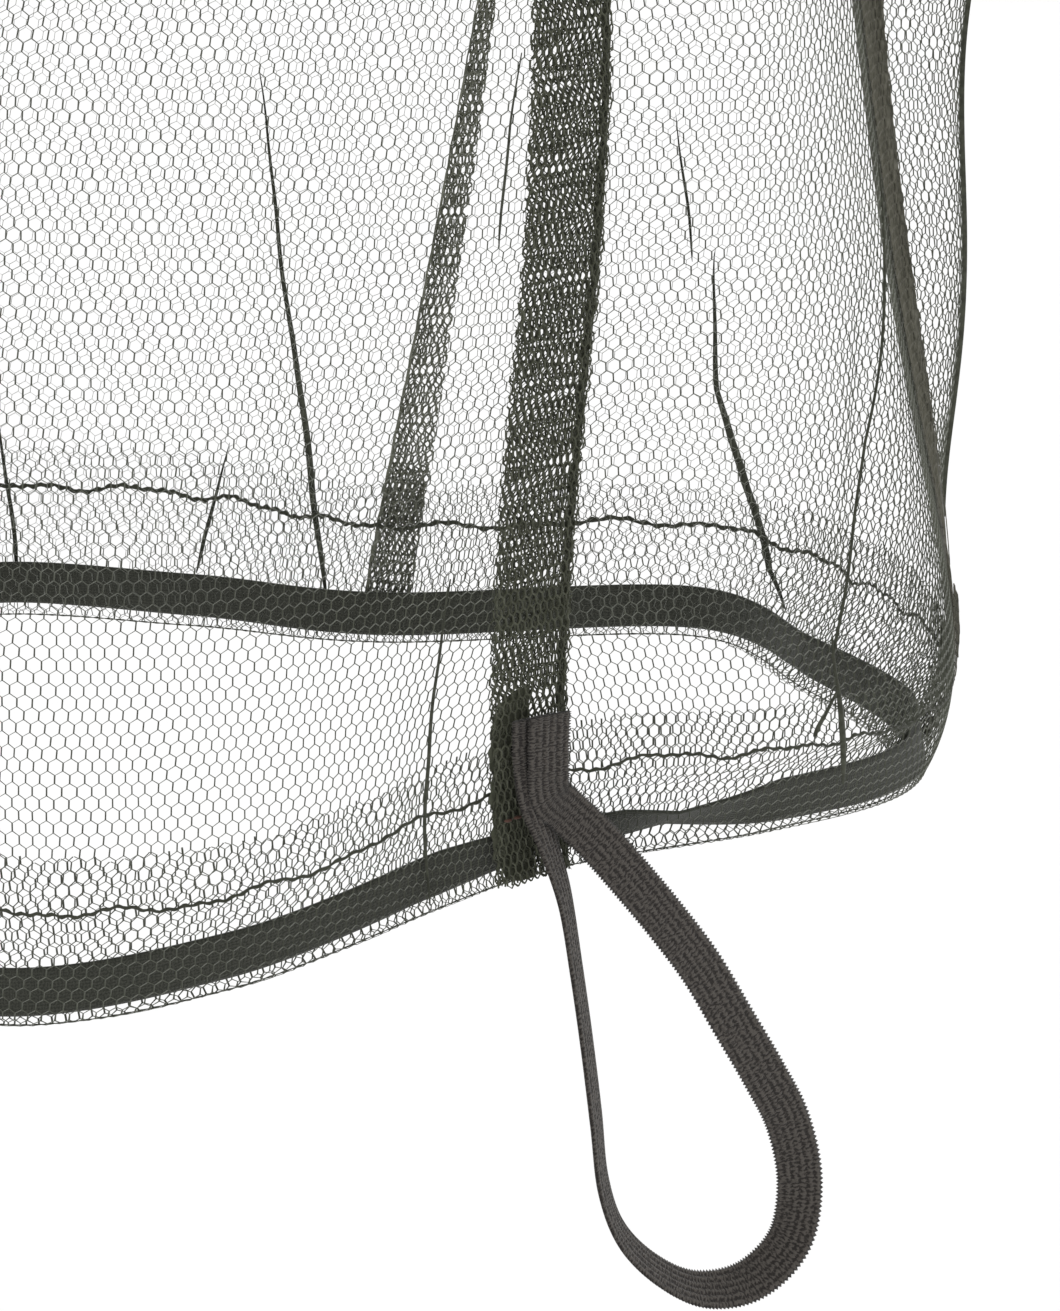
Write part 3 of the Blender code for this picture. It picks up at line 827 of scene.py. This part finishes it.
def woven_material(name, dark, light, stitches, ribs, depth):
    """Woven tape: ribs and uneven stitches, counted over the strip's whole length and width, with painted
    shade in their grooves.
    """
    material = yarn_material(name, dark, light, WOVEN_ROUGHNESS, WOVEN_PATCH)
    nodes, links = material.node_tree.nodes, material.node_tree.links
    uv = nodes.new("ShaderNodeUVMap")
    uv.uv_map = "cloth"
    spread = nodes.new("ShaderNodeMapping")
    spread.inputs["Scale"].default_value = (stitches, ribs, 1.0)
    links.new(uv.outputs["UV"], spread.inputs["Vector"])
    flecks = nodes.new("ShaderNodeTexNoise")
    flecks.inputs["Scale"].default_value = FLECK_SCALE
    flecks.inputs["Detail"].default_value = FLECK_DETAIL
    links.new(spread.outputs["Vector"], flecks.inputs["Vector"])
    height = nodes.new("ShaderNodeMath")
    height.operation = "MULTIPLY_ADD"
    height.inputs[1].default_value = FLECK_GAIN
    height.inputs[2].default_value = FLECK_BASE
    links.new(flecks.outputs["Fac"], height.inputs[0])
    for direction, weight, uneven in WEAVE_WAVES:
        yarn = nodes.new("ShaderNodeTexWave")
        yarn.bands_direction = direction
        yarn.inputs["Scale"].default_value = ONE_WAVE
        yarn.inputs["Distortion"].default_value = uneven
        links.new(spread.outputs["Vector"], yarn.inputs["Vector"])
        raised = nodes.new("ShaderNodeMath")
        raised.operation = "MULTIPLY_ADD"
        raised.inputs[1].default_value = weight
        links.new(yarn.outputs["Fac"], raised.inputs[0])
        links.new(height.outputs["Value"], raised.inputs[2])
        height = raised
    bump = nodes.new("ShaderNodeBump")
    bump.inputs["Distance"].default_value = depth
    links.new(height.outputs["Value"], bump.inputs["Height"])
    links.new(bump.outputs["Normal"], nodes["Principled BSDF"].inputs["Normal"])
    # The colour follows the height: the grooves between ribs and stitches are painted darker, as painted
    # shade, and the flecks vary in tone.
    links.new(height.outputs["Value"], nodes["Color Ramp"].inputs["Fac"])
    return material


def give_thickness(piece, thickness):
    """Gives a thin strip its two faces."""
    wall = piece.modifiers.new("thickness", "SOLIDIFY")
    wall.thickness = thickness * MM
    wall.offset = 0.0


tape_weave = woven_material(
    "tape_weave", (0.028, 0.030, 0.023), (0.050, 0.052, 0.041), TAPE_STITCHES, TAPE_RIBS, TAPE_BUMP
)
tape_work = strip(TAPE_COLUMNS, TAPE_ROWS, tape_lies, closed=True)
hem_tape = finished("hem_tape_woven", tape_work, tape_weave, "hem_tape")
give_thickness(hem_tape, TAPE)

# ----------------------------------------------------------------------------------------------------
# The casing's stitches: one dark sewing thread that wanders a little as it runs round the canopy and
# holds the casing's inner layer to the outer one.

SEAM_THREAD_R = 0.25
SEAM_DRAWN_UP = 0.5
SEAM_COLUMNS = 1300
SEAM_SIDES = 6
SEAM_BELOW = 0.8
SEAM_STAND = 0.1
# Its waves round the canopy: how far each goes, how many there are and where they start.
SEAM_WANDERS = ((0.45, 31.0, 0.0), (0.3, 58.0, 1.0), (0.16, 260.0, 0.0))
KNOT = 0.3
WORN_KNOT = 0.2
KNOTS = 330.0
KNOT_GROUPS = 47.0


def seam_lies(along, across):
    """A thread just outside the net at the casing's top."""
    at = along * len(GORES)
    turns = 2.0 * math.pi * along
    wander = sum(far * np.sin(waves * turns + start) for far, waves, start in SEAM_WANDERS)
    h = casing_top(at) - SEAM_BELOW + wander
    angle = across * 2.0 * math.pi
    # Where the net is worn its meshes are drawn up into the seam, which makes it thicker and knotty.
    drawn_up = SEAM_DRAWN_UP * np.interp(at, WEAR_AND_LIGHT_PLACES, WEAR_AND_LIGHT)
    knots = (KNOT + WORN_KNOT * drawn_up) * np.sin(KNOTS * turns) * np.sin(KNOT_GROUPS * turns)
    radius = SEAM_THREAD_R * (1.0 + drawn_up) * (1.0 + knots)
    out = outward(at, h) * (SEAM_STAND + radius * np.cos(angle))[:, None]
    up = np.column_stack((np.zeros(len(h)), np.zeros(len(h)), radius * np.sin(angle)))
    return hung(at, h) + out + up


seam_yarn = yarn_material(
    "seam_yarn", dark=(0.028, 0.030, 0.020), light=(0.044, 0.047, 0.033), roughness=0.7, patch=0.004
)
seam_work = strip(SEAM_COLUMNS, SEAM_SIDES, seam_lies, closed=True)
seam = finished("casing_stitches", seam_work, seam_yarn)

# ----------------------------------------------------------------------------------------------------
# The loop: narrow ribbed webbing with toothed edges. Its two ends lie on each other on the front band
# and are sewn through just above the hem; the open loop hangs below and turns edge-on at one side.

WEBBING_WIDTH = 6.8
WEBBING = 1.0
STITCH_H = 21.6
LOOP_FACE = 2.3
# Its middle line in rows: how far to the side and how high, how far out, and its turn in degrees.
LOOP = np.array(
    (
        (0.0, 33.2, 2.7, 0),
        (0.0, 26.6, 2.7, 0),
        (0.4, 20.6, 2.75, 0),
        (3.0, 17.6, 3.2, 0),
        (7.6, 12.4, 4.2, 0),
        (12.7, 5.8, 5.2, 0),
        (18.2, -1.6, 5.8, 0),
        (24.0, -10.0, 6.0, 2),
        (29.6, -19.8, 6.0, 5),
        (35.0, -29.4, 6.1, 9),
        (39.2, -38.0, 6.2, 14),
        (41.2, -48.0, 6.5, 24),
        (39.4, -57.2, 6.8, 38),
        (32.6, -62.2, 7.0, 50),
        (24.0, -61.8, 7.0, 56),
        (16.4, -57.0, 7.0, 58),
        (10.2, -49.8, 7.0, 56),
        (7.0, -41.0, 7.0, 52),
        (5.8, -30.0, 6.8, 50),
        (4.6, -18.0, 6.1, 50),
        (3.2, -6.6, 5.5, 50),
        (1.8, 4.8, 4.4, 48),
        (-0.2, 13.6, 2.9, 40),
        (-1.4, 20.0, 1.8, 14),
        (-1.9, 26.6, 1.35, 3),
        (-2.0, 32.6, 1.35, 0),
    )
)
FRONT_BAND = np.array((1.0,))
PICOT = 0.2
RIBS = 6
RIB_RISE = 0.26
# Two shades to each rib in the weave's pattern: a lighter crest and a darker groove, painted light and
# painted shade.
RIB_LIGHT_AND_SHADE = 2.0
LOOP_BUMP = 0.00015
LOOP_STATIONS = 740
LOOP_STEP = 0.05
FACE_POINTS = 18
EDGE_SQUARENESS = 8
EDGE_SHARE = 0.99

face_out = level_out(FRONT_BAND, np.array((STITCH_H,)))[0]
face_side = np.array((-face_out[1], face_out[0], 0.0))
face_middle = hung(FRONT_BAND, np.array((STITCH_H,)))[0]


def loop_middle(place):
    """The webbing's middle line at places counted in rows of the table, and how far it is turned there."""
    place = np.clip(place, 0.0, len(LOOP) - 1.0)
    first = np.minimum(place.astype(int), len(LOOP) - 2)
    share = (place - first)[:, None]
    rows = (LOOP[np.clip(first + step, 0, len(LOOP) - 1)] for step in (-1, 0, 1, 2))
    side, h, out, turn = smooth_between(*rows, share).T
    level = np.maximum(h, STITCH_H)
    front = np.ones_like(level)
    face = hung(front, level) + outward(front, level) * LOOP_FACE
    reach = (face - face_middle) @ face_out + out
    points = face_middle + face_side * side[:, None] + face_out * reach[:, None]
    points[:, 2] = h
    return points, np.radians(turn)


def loop_lies(along, across):
    """The webbing's ribbed and toothed section, carried along its middle line."""
    place = along * (len(LOOP) - 1)
    centre, turn = loop_middle(place)
    forward = loop_middle(place + LOOP_STEP)[0] - loop_middle(place - LOOP_STEP)[0]
    forward /= np.linalg.norm(forward, axis=1)[:, None]
    outer = np.cross(face_out, forward)
    outer /= np.linalg.norm(outer, axis=1)[:, None]
    ahead = np.cross(forward, outer)
    width_way = outer * np.cos(turn)[:, None] + ahead * np.sin(turn)[:, None]
    face_way = np.cross(width_way, forward)
    # Round the section: across one face and back over the other.
    over = np.abs(4.0 * across - 2.0) - 1.0
    rib = np.abs(np.sin(math.pi * RIBS * (over + 1.0) / 2.0))
    edge = 1.0 - np.abs(over) ** EDGE_SQUARENESS
    face = np.sign(0.5 - across) * edge * (WEBBING / 2.0 - RIB_RISE + RIB_RISE * rib)
    # Its edges are toothed, one tooth to every second row of stitches.
    step = np.round(along * LOOP_STATIONS)
    tooth = PICOT * np.where(step % 2 > 0.5, 1.0, -1.0) * (np.abs(over) > EDGE_SHARE)
    half = over * (WEBBING_WIDTH / 2.0 + tooth)
    return centre + width_way * half[:, None] + face_way * face[:, None]


webbing_weave = woven_material(
    "webbing_weave",
    dark=(0.020, 0.017, 0.015),
    light=(0.074, 0.066, 0.058),
    stitches=LOOP_STATIONS / 2.0,
    ribs=RIBS * RIB_LIGHT_AND_SHADE,
    depth=LOOP_BUMP,
)
loop_work = strip(LOOP_STATIONS, FACE_POINTS * 2, loop_lies, closed=True)
bmesh.ops.holes_fill(loop_work, edges=[edge for edge in loop_work.edges if edge.is_boundary], sides=0)
bmesh.ops.recalc_face_normals(loop_work, faces=loop_work.faces)
loop = finished("loop_webbing", loop_work, webbing_weave, "loop")

# ----------------------------------------------------------------------------------------------------
# The loop's stitches: a short row of rust-brown sewing thread. It goes through both ends of the webbing
# and the band, and its first stitches lie on the band beside the webbing.

STITCH_LENGTH = 1.5
STITCH_R = 0.28
STITCH_SIDES = 8
STITCH_RINGS = 6
OUT_ON_WEBBING = 3.9
OUT_ON_BAND = 2.5
STITCH_ROW = ((-5.2, 16.8), (-3.7, 17.0), (-2.2, 16.9), (-0.7, 17.1), (0.8, 17.2))

rust_yarn = yarn_material(
    "rust_yarn", dark=(0.070, 0.034, 0.024), light=(0.120, 0.060, 0.042), roughness=0.6, patch=0.002
)
stitch_work = bmesh.new()
stitch_size = (STITCH_LENGTH / 2.0 * MM, STITCH_R * MM, STITCH_R * MM)
stitch_turn = Matrix.Rotation(math.atan2(face_side[1], face_side[0]), 3, "Z")
for side, h in STITCH_ROW:
    made = bmesh.ops.create_uvsphere(
        stitch_work, u_segments=STITCH_SIDES, v_segments=STITCH_RINGS, radius=1.0
    )["verts"]
    bmesh.ops.scale(stitch_work, verts=made, vec=stitch_size)
    bmesh.ops.rotate(stitch_work, verts=made, matrix=stitch_turn)
    lies_out = OUT_ON_WEBBING if side > -WEBBING_WIDTH / 2.0 else OUT_ON_BAND
    point = face_middle + face_side * side + face_out * lies_out
    point[2] = h
    bmesh.ops.translate(stitch_work, verts=made, vec=Vector(placed(point)))
stitches = finished("loop_stitches", stitch_work, rust_yarn)

# ----------------------------------------------------------------------------------------------------
# The top binding: a strip of the same dark tape, drawn up in small pleats round the gathered neck, sewn
# on over the tops of the bands, and turned in over the neck as a cap.

BINDING_R = 11.6
BINDING = 0.3
PLEATS = 26
PLEAT_DEPTH = 0.3
PLEAT_START_R = 8.0
CAP_MIDDLE_R = 0.1
CAP_STEPS = 208
# Its section, from the cap's middle over the rim and round the lower edge: radius and height.
CAP_PROFILE = (
    (0.0, -0.6),
    (3.0, -0.25),
    (7.5, 0.0),
    (10.4, -0.35),
    (11.4, -1.3),
    (11.6, -3.0),
    (11.3, -7.5),
    (11.6, -11.2),
    (11.4, -12.3),
    (10.4, -12.2),
    (10.2, -10.0),
)

cap_work = bmesh.new()
cap_work.loops.layers.uv.new("cloth")
line = [cap_work.verts.new((radius * MM, 0.0, height * MM)) for radius, height in CAP_PROFILE]
edges = [cap_work.edges.new(pair) for pair in zip(line, line[1:])]
bmesh.ops.spin(
    cap_work,
    geom=line + edges,
    cent=(0.0, 0.0, 0.0),
    axis=(0.0, 0.0, 1.0),
    angle=2.0 * math.pi,
    steps=CAP_STEPS,
    use_merge=True,
)
bmesh.ops.remove_doubles(cap_work, verts=cap_work.verts, dist=WELD * MM)
bmesh.ops.recalc_face_normals(cap_work, faces=cap_work.faces)
for corner in cap_work.verts:
    radius = math.hypot(corner.co.x, corner.co.y)
    if radius > CAP_MIDDLE_R * MM:
        way = math.atan2(corner.co.y, corner.co.x)
        pleat = (0.5 - 0.5 * math.cos(PLEATS * way)) * min(radius / MM / PLEAT_START_R, 1.0)
        drawn = 1.0 - PLEAT_DEPTH / BINDING_R * pleat
        corner.co.x *= drawn
        corner.co.y *= drawn
cap_weave = yarn_material(
    "cap_weave", dark=(0.034, 0.037, 0.026), light=(0.052, 0.056, 0.040), roughness=0.8, patch=0.003
)
cap = finished("top_binding_tape", cap_work, cap_weave, "top_binding")
give_thickness(cap, BINDING)

# ----------------------------------------------------------------------------------------------------
# The photographer's view: a pale floor far below, a soft white surround all round, and the camera, which
# looks down at the hem's right half from 20 degrees above it. Its lengths are in metres.

FLOOR_REACH = 6.0
FLOOR_BELOW = 1.6
FLOOR_COLOUR = (0.92, 0.92, 0.92)
FLOOR_ROUGHNESS = 0.9
SURROUND_COLOUR = (1.0, 1.0, 1.0)
SURROUND_LIGHT = 1.1
CAMERA_TARGET = Vector((0.012, -0.012, -0.2903))
CAMERA_RISE = math.radians(20.0)
CAMERA_AWAY = 1.0
LENS = 183.07
SENSOR_WIDTH = 36.0

floor_mesh = bpy.data.meshes.new("floor")
floor_work = bmesh.new()
bmesh.ops.create_grid(floor_work, x_segments=1, y_segments=1, size=FLOOR_REACH)
bmesh.ops.translate(floor_work, verts=floor_work.verts, vec=(0.0, 0.0, -FLOOR_BELOW))
floor_work.to_mesh(floor_mesh)
floor_work.free()
floor = bpy.data.objects.new("floor", floor_mesh)
bpy.context.collection.objects.link(floor)
pale = bpy.data.materials.new("pale_floor")
pale.use_nodes = True
pale.node_tree.nodes["Principled BSDF"].inputs["Base Color"].default_value = (*FLOOR_COLOUR, 1.0)
pale.node_tree.nodes["Principled BSDF"].inputs["Roughness"].default_value = FLOOR_ROUGHNESS
floor_mesh.materials.append(pale)

world = bpy.data.worlds.new("studio")
bpy.context.scene.world = world
world.use_nodes = True
world.node_tree.nodes["Background"].inputs["Color"].default_value = (*SURROUND_COLOUR, 1.0)
world.node_tree.nodes["Background"].inputs["Strength"].default_value = SURROUND_LIGHT
bpy.context.scene.view_settings.view_transform = "Standard"

camera_data = bpy.data.cameras.new("camera")
camera_data.lens = LENS
camera_data.sensor_width = SENSOR_WIDTH
camera_data.sensor_fit = "AUTO"
camera = bpy.data.objects.new("camera", camera_data)
bpy.context.collection.objects.link(camera)
away = Vector((0.0, -math.cos(CAMERA_RISE), math.sin(CAMERA_RISE)))
camera.location = CAMERA_TARGET + away * CAMERA_AWAY
camera.rotation_euler = away.to_track_quat("Z", "Y").to_euler()
bpy.context.scene.camera = camera
